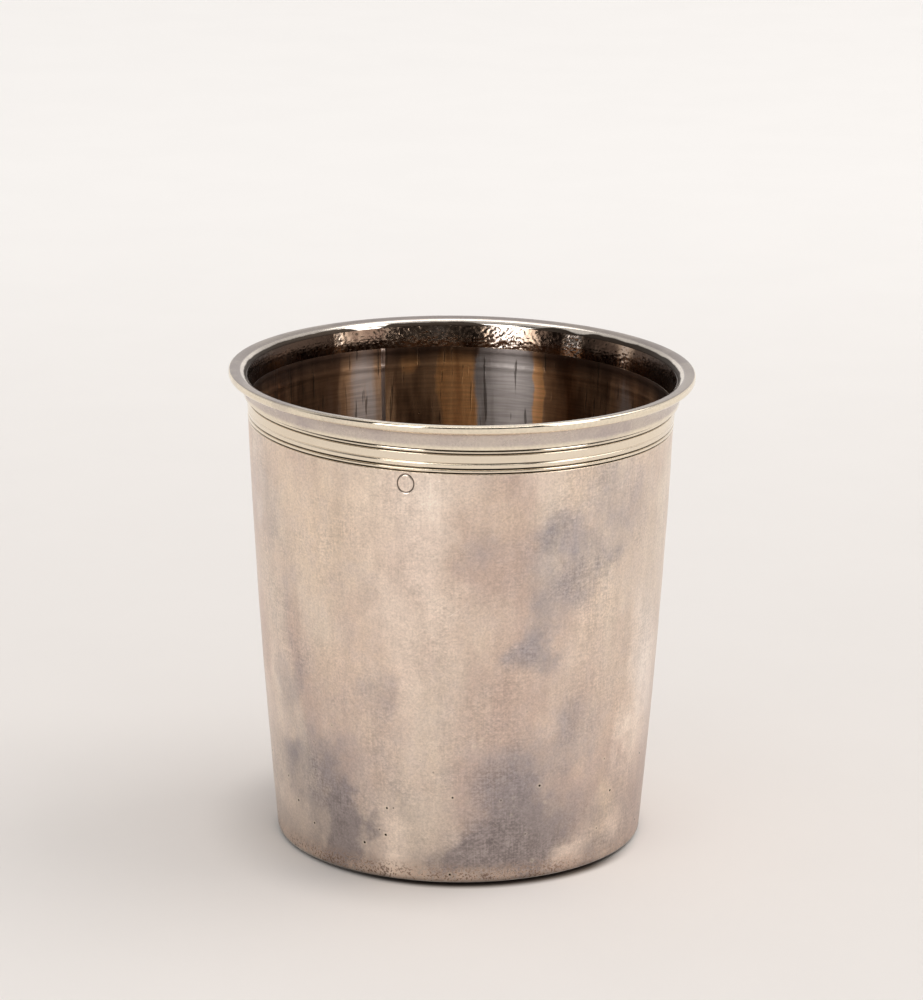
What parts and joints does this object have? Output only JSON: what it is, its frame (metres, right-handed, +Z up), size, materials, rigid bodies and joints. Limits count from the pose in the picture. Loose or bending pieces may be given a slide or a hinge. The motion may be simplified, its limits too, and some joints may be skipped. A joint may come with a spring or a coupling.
{
  "type": "christening beaker",
  "caption": "Plain tapered silver drinking beaker with a turned-out moulded lip, paired pressed lines below it and a flat soldered base.",
  "frame": {"origin": "centre of the standing face, on the floor", "axes": "+Z up along the beaker's axis of revolution, -Y towards the front; the seam is at the back, left of centre"},
  "size_m": [0.0776, 0.0776, 0.08],
  "materials": {
    "aged_silver": "satin silver with warm and lilac-grey tarnish, fine scratches and small pits",
    "lip_silver": "satin silver, lilac-grey on top and yellowish on the rounded edge",
    "base_silver": "satin silver, worn bright on the standing ring",
    "silver_solder": "matt, pitted and brown with tarnish"
  },
  "bodies": {
    "root": {"wall_sleeve": "aged_silver", "wall_seam": "silver_solder", "lip_moulding": "lip_silver", "lip_solder": "silver_solder", "base_disc": "base_silver", "base_solder": "silver_solder"}
  },
  "joints": []
}
